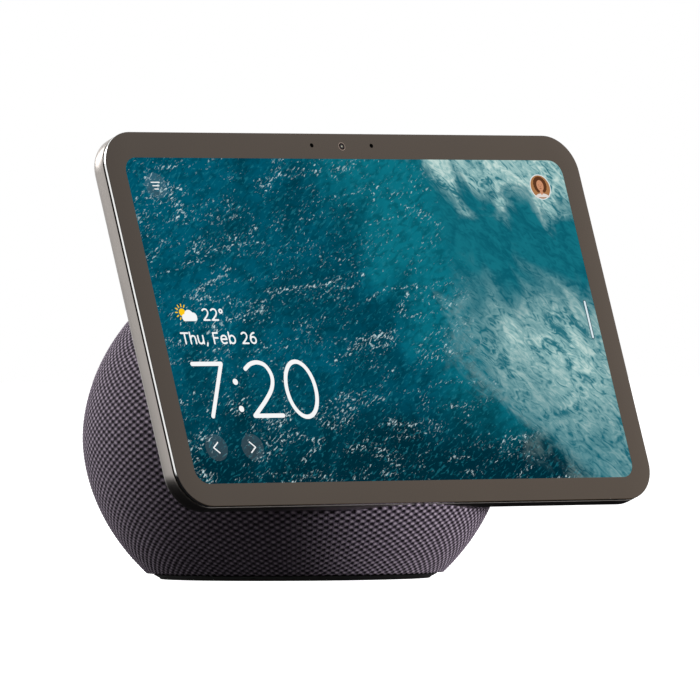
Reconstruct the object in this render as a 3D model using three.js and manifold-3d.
// Smart display: a tablet-sized screen fixed at a backward tilt on a knit-covered ball that holds the speakers.
// Millimetres, +Z up, the screen faces -Y. The origin is the middle of the foot's underside.

import * as THREE from "three";
import { mergeVertices } from "three/addons/utils/BufferGeometryUtils.js";
import Module from "manifold-3d";

// Fits
const GAP = 0.3; // clearance left between pieces that touch
const OVERCUT = 40; // how far a cutter runs past what it cuts

// Ball: a superellipse of revolution, |r/a|^n + |h/b|^n = 1
const BALL_A = 70.9;
const BALL_B = 65.7;
const BALL_N = 1.905;
const BALL_HEIGHT = 47.2; // centre above the table
const BALL_BACK = 56.4; // centre behind the glass front
const BALL_BELOW = 22.4; // centre below the middle of the glass
const BALL_SEGMENTS = 32;
const BALL_RINGS = 10;
const KNIT_WALL = 1.6;
const CHASSIS_INSET = 2.6; // chassis outside, inwards from the knit's outside
const CHASSIS_WALL = 2.2;
const SPLIT_Y = 20; // where the front and rear chassis halves meet
const SKIRT_Z = 1.9; // lower edge of the knit and of the chassis

// Display
const TILT = THREE.MathUtils.degToRad(19.5);
const GLASS_W = 205;
const GLASS_H = 130;
const GLASS_CORNER = 12.75;
const GLASS_THICK = 1.2;
const GROOVE_END = 1.95; // the housing starts at this depth
const DISPLAY_DEPTH = 9;
const REAR_ROUND = 3.6;
const HOUSING_WALL = 1.8;
const HOUSING_FLOOR = 1.6;
const ACTIVE_W = 189.7;
const ACTIVE_H = 113.3;
const ACTIVE_CORNER = 5.25;
const ACTIVE_DROP = 0.64; // active area's middle below the glass's middle
const STACK_W = 194;
const STACK_H = 115.5;
const LCD = [2.1, 3.2]; // depths, front to back
const LIGHT_GUIDE = [3.5, 4.7];
const REFLECTOR = [5, 5.3];
const MID_FRAME = [5.6, 6.6];
const MASK = [1.5, 1.8];
const MASK_INSET = 0.8;
const CAMERA_Y = 60.45;
const MIC_X = 12.95;
const MIC_Y = 60.75;

// Screws and the plate that joins the display to the ball
const HUB_HOLE_R = 12;
const HUB_SCREW_X = 26;
const HUB_SCREW_Y = 18;
const SCREW_R = 1;
const SCREW_HOLE_R = 1.35;
const SCREW_HEAD_R = 2;
const SCREW_HEAD = 1.1;
const PLATE = [12.4, 13.9];
const PLATE_W = 64;
const PLATE_H = 46;
const MAIN_BOARD = [20, 21.6];

// Buttons on the display's right edge
const BUTTON_LENGTH = 10;
const BUTTON_WIDTH = 2.2;
const BUTTON_DEPTH = 3.7; // middle, behind the glass front
const BUTTON_PROUD = 0.6;
const BUTTON_Y = { mic_camera_button: 38, volume_up_button: 22, volume_down_button: 9 };
const BUTTON_FLANGE = 0.8;

// Speakers
const WOOFER_R = 32;
const WOOFER_FACE_Y = 46.6;
const WOOFER_Z = 54;
const DRIVER_R = 20;
const DRIVER_FACE_X = 52.3;
const DRIVER_Y = -4;
const DRIVER_Z = 48;
const CUP_WALL = 2.4;
const CUP_LIP = 2.2;

// Foot, base plate and what stands on it
const FOOT_TOP_R = 47.5;
const FOOT_BOTTOM_R = 45;
const FOOT_HEIGHT = 1.6;
const BASE_PLATE_R = 42;
const BASE_PLATE_Z = [1.9, 3.9];
const BALLAST_R = 30;
const BALLAST_Z = [4.2, 12.2];
const BASE_SCREWS = [[27, -27], [-27, -27], [27, 27], [-27, 27]];
const BASE_BOSS_Z = [4.2, 12];

// DC inlet, low on the back
const INLET_Z = 12.5;
const INLET_R = 4;
const INLET_Y = [40, 53];
const BEZEL_R = 6.4;
const BEZEL_Y = 49;

const wasm = await Module();
wasm.setup();

// ---- materials ----

const finish = (color, roughness, metalness = 0) =>
  new THREE.MeshStandardMaterial({ color, roughness, metalness });

const GRAPHITE = finish(0x4a4749, 0.45, 0.1);
const GLASS = finish(0x4a443d, 0.05);
const MASK_BLACK = finish(0x0c0c0d, 0.6);
const LCD_GREY = finish(0x12323c, 0.2);
const CLEAR_ACRYLIC = finish(0xe8f0f2, 0.1);
const WHITE_FILM = finish(0xf2f2f0, 0.4);
const ALUMINIUM = finish(0xb9bcbf, 0.4, 0.9);
const STEEL = finish(0x8d9094, 0.35, 0.9);
const ZINC = finish(0xc5c7c9, 0.3, 0.9);
const BLACK_PLASTIC = finish(0x18181a, 0.6);
const KNIT = finish(0x4a404c, 0.95);
const RUBBER = finish(0x151515, 0.85);
const BOARD_GREEN = finish(0x1d4a33, 0.5);
const BOARD_BLACK = finish(0x17191b, 0.5);
const FERRITE = finish(0x2a2b2d, 0.5, 0.4);
const PAPER = finish(0x1f1f20, 0.8);
const COPPER = finish(0xb56a3c, 0.35, 0.9);
const AMBER_FILM = finish(0x9a5a1c, 0.4);

// ---- solids ----

function toSolid(geometry, matrix = new THREE.Matrix4()) {
  const bare = geometry.clone().applyMatrix4(matrix);
  bare.deleteAttribute("normal");
  bare.deleteAttribute("uv");
  const merged = mergeVertices(bare, 1e-4);
  return new wasm.Manifold(new wasm.Mesh({
    numProp: 3,
    vertProperties: new Float32Array(merged.attributes.position.array),
    triVerts: new Uint32Array(merged.index.array),
  }));
}

function toGeometry(solid) {
  const { vertProperties, triVerts } = solid.getMesh();
  const geometry = new THREE.BufferGeometry();
  geometry.setAttribute("position", new THREE.BufferAttribute(vertProperties, 3));
  geometry.setIndex(new THREE.BufferAttribute(triVerts, 1));
  return geometry;
}

const move = (x, y, z) => new THREE.Matrix4().makeTranslation(x, y, z);

/** A box solid between two corners. */
function block(low, high) {
  const size = high.map((v, i) => v - low[i]);
  const middle = high.map((v, i) => (v + low[i]) / 2);
  return toSolid(new THREE.BoxGeometry(...size), move(...middle));
}

/** A revolved solid from [radius, height] points, turned so that its axis lies along `axis`. */
function turned(points, segments, axis = "Z") {
  const outline = points.map(([r, h]) => new THREE.Vector2(r, h));
  if (THREE.ShapeUtils.isClockWise(outline)) outline.reverse();
  const geometry = new THREE.LatheGeometry([...outline, outline[0].clone()], segments);
  return toSolid(geometry, axisMatrix(axis));
}

/** A matrix that brings +Y, the lathe's axis, to the named direction. */
function axisMatrix(axis) {
  const turns = {
    "Y": new THREE.Matrix4(),
    "Z": new THREE.Matrix4().makeRotationX(Math.PI / 2),
    "X": new THREE.Matrix4().makeRotationZ(-Math.PI / 2),
    "-X": new THREE.Matrix4().makeRotationZ(Math.PI / 2),
  };
  return turns[axis];
}

/** A round rod along an axis between two heights, centred on the axis through `at`. */
function rod(radius, from, to, axis = "Z", at = [0, 0, 0], segments = 20) {
  const geometry = new THREE.CylinderGeometry(radius, radius, to - from, segments);
  geometry.translate(0, (from + to) / 2, 0);
  return toSolid(geometry, move(...at).multiply(axisMatrix(axis)));
}

function ring(outer, inner, from, to, axis, at, segments = 20) {
  const hole = rod(inner, from - 1, to + 1, axis, at, segments);
  return rod(outer, from, to, axis, at, segments).subtract(hole);
}

/** The ball's outer surface moved inwards by `inset`, as a solid that starts at height `floor`. */
function ball(inset, floor = SKIRT_Z) {
  const a = BALL_A - inset;
  const b = BALL_B - inset;
  const lowest = -Math.asin(((BALL_HEIGHT - floor) / b) ** (BALL_N / 2));
  const profile = [new THREE.Vector2(0, floor)];
  for (let i = 0; i < BALL_RINGS; i += 1) {
    const t = lowest + ((Math.PI / 2 - lowest) * i) / BALL_RINGS;
    const h = Math.sign(t) * b * Math.abs(Math.sin(t)) ** (2 / BALL_N);
    profile.push(new THREE.Vector2(a * Math.cos(t) ** (2 / BALL_N), BALL_HEIGHT + h));
  }
  profile.push(new THREE.Vector2(0, BALL_HEIGHT + b));
  return toSolid(new THREE.LatheGeometry(profile, BALL_SEGMENTS), axisMatrix("Z"));
}

// ---- the display's own frame: x right, y up the screen, z towards the viewer ----

const upScreen = new THREE.Vector3(0, Math.sin(TILT), Math.cos(TILT));
const outOfScreen = new THREE.Vector3(0, -Math.cos(TILT), Math.sin(TILT));
const glassMiddle = new THREE.Vector3(0, 0, BALL_HEIGHT)
  .addScaledVector(upScreen, BALL_BELOW)
  .addScaledVector(outOfScreen, BALL_BACK);

const display = new THREE.Group();
display.position.copy(glassMiddle);
display.rotation.x = Math.PI / 2 - TILT;
display.updateMatrix();

const inWorld = (solid) => solid.transform(display.matrix.elements);

function roundedRect(width, height, radius, dy = 0) {
  const x = width / 2 - radius;
  const y = height / 2 - radius;
  const shape = new THREE.Shape();
  shape.absarc(x, dy + y, radius, 0, Math.PI / 2);
  shape.absarc(-x, dy + y, radius, Math.PI / 2, Math.PI);
  shape.absarc(-x, dy - y, radius, Math.PI, Math.PI * 1.5);
  shape.absarc(x, dy - y, radius, Math.PI * 1.5, Math.PI * 2);
  return shape;
}

/** A flat piece of the display between two depths behind the glass front. */
function slab(shape, [front, back], curveSegments = 4) {
  const geometry = new THREE.ExtrudeGeometry(shape, {
    depth: back - front,
    bevelEnabled: false,
    curveSegments,
  });
  return toSolid(geometry, move(0, 0, -back));
}

/** A hole or rod square to the screen, between two depths. */
const through = (radius, [front, back], x, y, segments = 12) =>
  rod(radius, -back, -front, "Z", [x, y, 0], segments);

const hubScrews = [[1, 1], [-1, 1], [1, -1], [-1, -1]]
  .map(([sx, sy]) => [sx * HUB_SCREW_X, -BALL_BELOW + sy * HUB_SCREW_Y]);

function drillHub(solid, depths) {
  const holes = hubScrews.map(([x, y]) => through(SCREW_HOLE_R, depths, x, y, 10));
  return holes.reduce((left, hole) => left.subtract(hole), solid);
}

const stack = (depths) =>
  slab(roundedRect(STACK_W, STACK_H, 2, -ACTIVE_DROP), depths, 2);

function coverGlass() {
  return slab(roundedRect(GLASS_W, GLASS_H, GLASS_CORNER), [0, GLASS_THICK]);
}

function bezelMask() {
  const inset = 2 * MASK_INSET;
  const sheet = slab(roundedRect(GLASS_W - inset, GLASS_H - inset, GLASS_CORNER - MASK_INSET), MASK);
  const window = slab(roundedRect(ACTIVE_W, ACTIVE_H, ACTIVE_CORNER, -ACTIVE_DROP), [1, 3], 4);
  return sheet
    .subtract(window)
    .subtract(through(1.6, [1, 3], 0, CAMERA_Y))
    .subtract(through(0.7, [1, 3], MIC_X, MIC_Y))
    .subtract(through(0.7, [1, 3], -MIC_X, MIC_Y));
}

/** The rear housing's outside: straight sides, then a quarter round into the back. */
function housingOutside() {
  const steps = 5;
  const section = [[GROOVE_END, 0], [DISPLAY_DEPTH - REAR_ROUND, 0]];
  for (let i = 1; i <= steps; i += 1) {
    const t = (Math.PI / 2) * (i / steps);
    const inset = REAR_ROUND * (1 - Math.cos(t));
    section.push([DISPLAY_DEPTH - REAR_ROUND + REAR_ROUND * Math.sin(t), inset]);
  }
  return lofted(section.map(([depth, inset]) => ({ depth, inset })));
}

/** A solid through rounded outlines of one glass shape, each at its depth and inset. */
function lofted(levels) {
  const outline = (inset) => {
    const shape = roundedRect(GLASS_W - 2 * inset, GLASS_H - 2 * inset, GLASS_CORNER - inset);
    return shape.getPoints(4).slice(0, -1);
  };
  const rings = levels.map(({ depth, inset }) => outline(inset).map((p) => [p.x, p.y, -depth]));
  const count = rings[0].length;
  const last = (rings.length - 1) * count;
  const cap = THREE.ShapeUtils.triangulateShape(outline(levels[0].inset), []);
  const faces = cap.map(([a, b, c]) => [a, b, c]);
  faces.push(...cap.map(([a, b, c]) => [last + a, last + c, last + b]));
  for (let k = 0; k + 1 < rings.length; k += 1) {
    for (let i = 0; i < count; i += 1) {
      const j = (i + 1) % count;
      const [a, b] = [k * count + i, k * count + j];
      faces.push([a, a + count, b + count], [a, b + count, b]);
    }
  }
  const geometry = new THREE.BufferGeometry();
  geometry.setAttribute("position", new THREE.Float32BufferAttribute(rings.flat(2), 3));
  geometry.setIndex(faces.flat());
  return toSolid(geometry);
}

function rearHousing() {
  const inside = 2 * HOUSING_WALL;
  const cavity = slab(
    roundedRect(GLASS_W - inside, GLASS_H - inside, GLASS_CORNER - HOUSING_WALL),
    [GROOVE_END - 1, DISPLAY_DEPTH - HOUSING_FLOOR],
  );
  let shell = housingOutside().subtract(cavity);
  for (const y of Object.values(BUTTON_Y)) {
    const [length, width] = [BUTTON_LENGTH / 2 + GAP, BUTTON_WIDTH / 2 + GAP];
    const low = [GLASS_W / 2 - HOUSING_WALL - 1, y - length, -BUTTON_DEPTH - width];
    const high = [GLASS_W / 2 + 1, y + length, -BUTTON_DEPTH + width];
    shell = shell.subtract(block(low, high));
  }
  const floor = [DISPLAY_DEPTH - HOUSING_FLOOR - 1, DISPLAY_DEPTH + 1];
  shell = shell.subtract(through(HUB_HOLE_R, floor, 0, -BALL_BELOW, 24));
  return drillHub(shell, floor);
}

function midFrame() {
  const ribbonSlot = block([-11, -17, -8], [11, -5, -5]);
  return drillHub(stack(MID_FRAME), [MID_FRAME[0] - 1, MID_FRAME[1] + 1]).subtract(ribbonSlot);
}

function cameraModule() {
  return through(2.4, [2.7, 6.1], 0, CAMERA_Y, 16);
}

function cameraLens() {
  return turned([[0, -1.5], [0.7, -1.6], [0.7, -1.45], [1.3, -1.45], [1.3, -2.4], [0, -2.4]], 16)
    .translate([0, CAMERA_Y, 0]);
}

function microphone(side) {
  const x = side * MIC_X;
  return block([x - 4, MIC_Y - 2, -3.3], [x + 4, MIC_Y + 2, -2.1]);
}

function button(y) {
  const outer = GLASS_W / 2 + BUTTON_PROUD;
  const inner = GLASS_W / 2 - HOUSING_WALL - GAP;
  const [length, width] = [BUTTON_LENGTH / 2, BUTTON_WIDTH / 2];
  const cap = block(
    [inner - BUTTON_FLANGE, y - length, -BUTTON_DEPTH - width],
    [outer, y + length, -BUTTON_DEPTH + width],
  );
  const flange = block(
    [inner - BUTTON_FLANGE, y - length - 1.2, -BUTTON_DEPTH - width - 0.5],
    [inner, y + length + 1.2, -BUTTON_DEPTH + width + 0.5],
  );
  return cap.add(flange);
}

function buttonBoard() {
  const x = STACK_W / 2 + GAP;
  let board = block([x, -2, -5.2], [x + 0.7, 48, -2.2]);
  for (const y of Object.values(BUTTON_Y)) {
    board = board.add(block([x + 0.2, y - 2, -BUTTON_DEPTH - 1], [x + 1.4, y + 2, -BUTTON_DEPTH + 1]));
  }
  return board;
}

/** The flat cable from the panel through the hub hole to the main board. */
function ribbonCable() {
  const bend = -BALL_BELOW + 4.4;
  const shape = new THREE.Shape([
    new THREE.Vector2(-6, -6.85),
    new THREE.Vector2(bend - 0.3, -6.85),
    new THREE.Vector2(bend - 0.3, -MAIN_BOARD[0] + GAP),
    new THREE.Vector2(bend, -MAIN_BOARD[0] + GAP),
    new THREE.Vector2(bend, -7.15),
    new THREE.Vector2(-6, -7.15),
  ]);
  const geometry = new THREE.ExtrudeGeometry(shape, { depth: 18, bevelEnabled: false });
  const basis = new THREE.Matrix4().makeBasis(
    new THREE.Vector3(0, 1, 0),
    new THREE.Vector3(0, 0, 1),
    new THREE.Vector3(1, 0, 0),
  );
  return toSolid(geometry, move(-9, 0, 0).multiply(basis));
}

// ---- boards behind the display, in its frame ----

function plateBetween(width, height, depths, x = 0, y = 0) {
  return block(
    [x - width / 2, -BALL_BELOW + y - height / 2, -depths[1]],
    [x + width / 2, -BALL_BELOW + y + height / 2, -depths[0]],
  );
}

function mountingPlate() {
  const plate = slab(roundedRect(PLATE_W, PLATE_H, 6, -BALL_BELOW), PLATE, 3);
  const depths = [PLATE[0] - 1, PLATE[1] + 1];
  return drillHub(plate, depths).subtract(through(HUB_HOLE_R, depths, 0, -BALL_BELOW, 24));
}

/** A pan-head screw along +Z from its head's top at `headTop` down or up to `tip`. */
function screw(tip, seat, at) {
  const up = Math.sign(tip - seat);
  const profile = [
    [0, seat - up * SCREW_HEAD],
    [SCREW_HEAD_R, seat - up * SCREW_HEAD],
    [SCREW_HEAD_R, seat],
    [SCREW_R, seat],
    [SCREW_R, tip - up * 0.6],
    [0, tip],
  ];
  return turned(profile, 10).translate(at);
}

// ---- the ball ----

/** What the display takes out of a ball piece, with `clear` left round it. */
function displayCut(clear) {
  const low = [-GLASS_W, -GLASS_H / 2 - clear, -DISPLAY_DEPTH - clear];
  return inWorld(block(low, [GLASS_W, GLASS_H, OVERCUT * 2]));
}

function inletHole(radius) {
  return rod(radius, BEZEL_Y - 4, BALL_A + 5, "Y", [0, 0, INLET_Z], 16);
}

function knitCover() {
  return ball(0)
    .subtract(ball(KNIT_WALL, SKIRT_Z - 1))
    .subtract(displayCut(GAP))
    .subtract(inletHole(BEZEL_R + GAP));
}

/** The cup that seats a speaker: a tube with a lip at its inner end. */
function speakerCup(radius, face, axis, at) {
  const inner = radius + GAP;
  const seat = face - 2.3;
  const tube = ring(inner + CUP_WALL, inner, seat - 2, face + OVERCUT, axis, at, 24);
  return tube.add(ring(inner + CUP_WALL, inner - CUP_LIP, seat - 2, seat, axis, at, 24));
}

const SEAM_SCREWS = [[34, 86], [-34, 86], [44, 20], [-44, 20]];

/** A screw boss from three rods side by side: the post, then two that run out to the ball's wall. */
function boss(at, outwards, span, axis) {
  const posts = [0, 4, 8].map((step) => {
    const place = at.clone().addScaledVector(outwards, step);
    return rod(step ? 3.2 : 4, ...span, axis, place.toArray(), 10);
  });
  return posts.reduce((left, post) => left.add(post));
}

function seamBoss([x, z], span) {
  const outwards = new THREE.Vector3(x, 0, z - BALL_HEIGHT).normalize();
  return boss(new THREE.Vector3(x, 0, z), outwards, span, "Y");
}

function baseBoss([x, y]) {
  const outwards = new THREE.Vector3(x, y, 0).normalize();
  return boss(new THREE.Vector3(x, y, 0), outwards, BASE_BOSS_Z, "Z");
}

/** One half of the inner chassis, with the bosses and cups that lie in it. */
function chassis(isFront) {
  const inside = CHASSIS_INSET + CHASSIS_WALL;
  const outer = ball(CHASSIS_INSET).subtract(displayCut(2 * GAP));
  const inner = ball(inside, SKIRT_Z - 1).subtract(displayCut(2 * GAP + CHASSIS_WALL));
  let shell = outer.subtract(inner);
  const fittings = BASE_SCREWS
    .filter(([, y]) => (y < SPLIT_Y) === isFront)
    .map((at) => baseBoss(at));
  const span = isFront ? [SPLIT_Y - 8, SPLIT_Y + 1] : [SPLIT_Y - 1, SPLIT_Y + 8];
  fittings.push(...SEAM_SCREWS.map((at) => seamBoss(at, span)));
  const cups = isFront
    ? [
      speakerCup(DRIVER_R, DRIVER_FACE_X, "X", [0, DRIVER_Y, DRIVER_Z]),
      speakerCup(DRIVER_R, DRIVER_FACE_X, "-X", [0, DRIVER_Y, DRIVER_Z]),
    ]
    : [speakerCup(WOOFER_R, WOOFER_FACE_Y, "Y", [0, 0, WOOFER_Z])];
  const wallMiddle = ball(CHASSIS_INSET + CHASSIS_WALL / 2);
  for (const fitting of [...fittings, ...cups]) shell = shell.add(fitting.intersect(wallMiddle));
  for (const bore of chassisBores(isFront)) shell = shell.subtract(bore);
  const far = 2 * BALL_A;
  const half = isFront
    ? block([-far, -far, 0], [far, SPLIT_Y - GAP / 2, far])
    : block([-far, SPLIT_Y + GAP / 2, 0], [far, far, far]);
  return shell.intersect(half);
}

function chassisBores(isFront) {
  const seam = SEAM_SCREWS.map(([x, z]) => rod(SCREW_HOLE_R, SPLIT_Y - 7, SPLIT_Y + 9, "Y", [x, 0, z], 10));
  const base = BASE_SCREWS.map(([x, y]) => rod(SCREW_HOLE_R, 2, BASE_BOSS_Z[1] - 1.5, "Z", [x, y, 0], 10));
  if (!isFront) {
    const woofer = rod(WOOFER_R + GAP, WOOFER_FACE_Y - 2.3, BALL_A, "Y", [0, 0, WOOFER_Z], 24);
    return [...seam, ...base, woofer, inletHole(BEZEL_R + GAP)];
  }
  const at = [0, DRIVER_Y, DRIVER_Z];
  const drivers = ["X", "-X"].map((axis) => rod(DRIVER_R + GAP, DRIVER_FACE_X - 2.3, BALL_A, axis, at, 24));
  const wall = [DISPLAY_DEPTH, DISPLAY_DEPTH + CHASSIS_WALL + 2];
  const hub = through(HUB_HOLE_R, wall, 0, -BALL_BELOW, 24);
  const screws = hubScrews.map(([x, y]) => through(SCREW_HOLE_R, wall, x, y, 10));
  return [...seam, ...base, ...drivers, ...[hub, ...screws].map(inWorld)];
}

// ---- speakers: profiles are for a 32 mm flange radius, scaled; height 0 is the flange's front ----

const scaled = (points, k) => points.map(([r, h]) => [r * k, h * k]);

const BASKET = [
  [32, -2], [32, 0], [27.5, 0], [27.5, -1.2], [14.5, -14.8], [9.5, -14.8], [9.5, -16], [15.2, -16], [28.6, -2],
];
const MAGNET = [
  [0, -28.3], [21, -28.3], [21, -16.4], [9.4, -16.4], [9.4, -25], [7.1, -25], [7.1, -13.5], [0, -13.5],
];
const VOICE_COIL = [[7.6, -21], [8.9, -21], [8.9, -9.9], [7.6, -9.9]];
const CONE = [[9.4, -9.5], [24.4, -1.9], [24.4, -1], [9.4, -8.6]];
const DUST_CAP = [[0, -7], [4.6, -7.5], [8.9, -9.2], [8.9, -8.4], [4.6, -6.7], [0, -6.2]];
const SURROUND = [
  [24.8, 0.3], [25.4, 0.3], [26.1, 1.5], [27, 0.3], [29.5, 0.3], [29.5, 0.9], [27.5, 0.9], [26.1, 2.2],
];
const SMALL_CONE = [
  [0, -7], [7.6, -9], [7.6, -20], [8.9, -20], [8.9, -9.8], [24.4, -1.9], [24.4, -1], [9.4, -8.4], [5, -6.4],
  [0, -5.8],
];

// ---- foot and base ----

function rubberFoot() {
  return turned([[0, 0], [FOOT_BOTTOM_R, 0], [FOOT_TOP_R, FOOT_HEIGHT], [0, FOOT_HEIGHT]], 40);
}

function basePlate() {
  const [low, high] = BASE_PLATE_Z;
  let plate = rod(BASE_PLATE_R, low, high, "Z", [0, 0, 0], 40);
  for (const [x, y] of BASE_SCREWS) {
    plate = plate.subtract(rod(SCREW_HOLE_R, low - 1, high + 1, "Z", [x, y, 0], 10));
    plate = plate.subtract(rod(SCREW_HEAD_R + GAP, low - 1, low + 1.3, "Z", [x, y, 0], 10));
  }
  return plate;
}

// ---- DC inlet ----

function dcInlet() {
  const [back, mouth] = INLET_Y;
  const profile = [
    [0, back], [INLET_R, back], [INLET_R, mouth], [3, mouth], [3, mouth - 9], [0.8, mouth - 9],
    [0.8, mouth - 1], [0, mouth - 1],
  ];
  return turned(profile, 16, "Y").translate([0, 0, INLET_Z]);
}

function inletBezel() {
  return ring(BEZEL_R, INLET_R + GAP, BEZEL_Y, BALL_A, "Y", [0, 0, INLET_Z], 20).intersect(ball(-0.3));
}

// ---- assembly ----

const smartDisplay = new THREE.Group();
smartDisplay.add(display);

function place(name, solid, material, parent = smartDisplay) {
  const mesh = new THREE.Mesh(toGeometry(solid), material);
  mesh.name = name;
  parent.add(mesh);
}

// Display, front to back
place("cover_glass", coverGlass(), GLASS, display);
place("bezel_mask", bezelMask(), MASK_BLACK, display);
place("lcd_panel", stack(LCD), LCD_GREY, display);
place("light_guide", stack(LIGHT_GUIDE), CLEAR_ACRYLIC, display);
place("reflector_sheet", stack(REFLECTOR), WHITE_FILM, display);
place("mid_frame", midFrame(), ALUMINIUM, display);
place("rear_housing", rearHousing(), GRAPHITE, display);
place("camera_lens", cameraLens(), BLACK_PLASTIC, display);
place("camera_module", cameraModule(), BOARD_BLACK, display);
place("left_microphone", microphone(-1), BOARD_GREEN, display);
place("right_microphone", microphone(1), BOARD_GREEN, display);
place("button_board", buttonBoard(), BOARD_GREEN, display);
for (const [name, y] of Object.entries(BUTTON_Y)) place(name, button(y), GRAPHITE, display);
place("ribbon_cable", ribbonCable(), AMBER_FILM, display);

// Join between display and ball, and the boards behind it
place("mounting_plate", mountingPlate(), STEEL, display);
hubScrews.forEach(([x, y], i) => {
  place(`hub_screw_${i + 1}`, screw(-6.2, -PLATE[1] - GAP, [x, y, 0]), ZINC, display);
});
place("main_board", plateBetween(76, 50, MAIN_BOARD), BOARD_GREEN, display);
place("shield_can", plateBetween(34, 30, [21.9, 24.4], -12, 2), STEEL, display);
place("heat_spreader", plateBetween(56, 20, [17.6, 19.7], 0, -12), ALUMINIUM, display);

// Ball
place("knit_cover", knitCover(), KNIT);
place("front_chassis", chassis(true), BLACK_PLASTIC);
place("rear_chassis", chassis(false), BLACK_PLASTIC);
SEAM_SCREWS.forEach(([x, z], i) => {
  const upright = screw(SPLIT_Y - 6, SPLIT_Y + 8 + GAP, [0, 0, 0]);
  const lying = upright.transform(new THREE.Matrix4().makeRotationX(-Math.PI / 2).elements);
  place(`chassis_screw_${i + 1}`, lying.translate([x, 0, z]), ZINC);
});
place("wifi_antenna", block([-14, -8, 98], [14, 2, 98.8]), BOARD_GREEN);

// Speakers
const wooferAt = [0, WOOFER_FACE_Y, WOOFER_Z];
const woofer = (points) => turned(points, 20, "Y").translate(wooferAt);
place("woofer_basket", woofer(BASKET), STEEL);
place("woofer_magnet", woofer(MAGNET), FERRITE);
place("woofer_surround", woofer(SURROUND), RUBBER);
place("woofer_cone", woofer(CONE), PAPER);
place("woofer_dust_cap", woofer(DUST_CAP), PAPER);
place("woofer_voice_coil", woofer(VOICE_COIL), COPPER);

const driverScale = DRIVER_R / WOOFER_R;
for (const [side, axis, sign] of [["left", "-X", -1], ["right", "X", 1]]) {
  const driver = (points) =>
    turned(scaled(points, driverScale), 16, axis).translate([sign * DRIVER_FACE_X, DRIVER_Y, DRIVER_Z]);
  place(`${side}_driver_frame`, driver(BASKET), STEEL);
  place(`${side}_driver_magnet`, driver(MAGNET), FERRITE);
  place(`${side}_driver_surround`, driver(SURROUND), RUBBER);
  place(`${side}_driver_cone`, driver(SMALL_CONE), PAPER);
}

// Base
place("power_board", block([-28, -30, 14], [28, 8, 15.6]), BOARD_GREEN);
place("ballast_weight", rod(BALLAST_R, ...BALLAST_Z, "Z", [0, 0, 0], 32), STEEL);
place("base_plate", basePlate(), BLACK_PLASTIC);
BASE_SCREWS.forEach(([x, y], i) => {
  place(`base_screw_${i + 1}`, screw(9.5, BASE_PLATE_Z[0] + 1.2, [x, y, 0]), ZINC);
});
place("rubber_foot", rubberFoot(), RUBBER);
place("dc_inlet", dcInlet(), BLACK_PLASTIC);
place("inlet_bezel", inletBezel(), BLACK_PLASTIC);

export default smartDisplay;
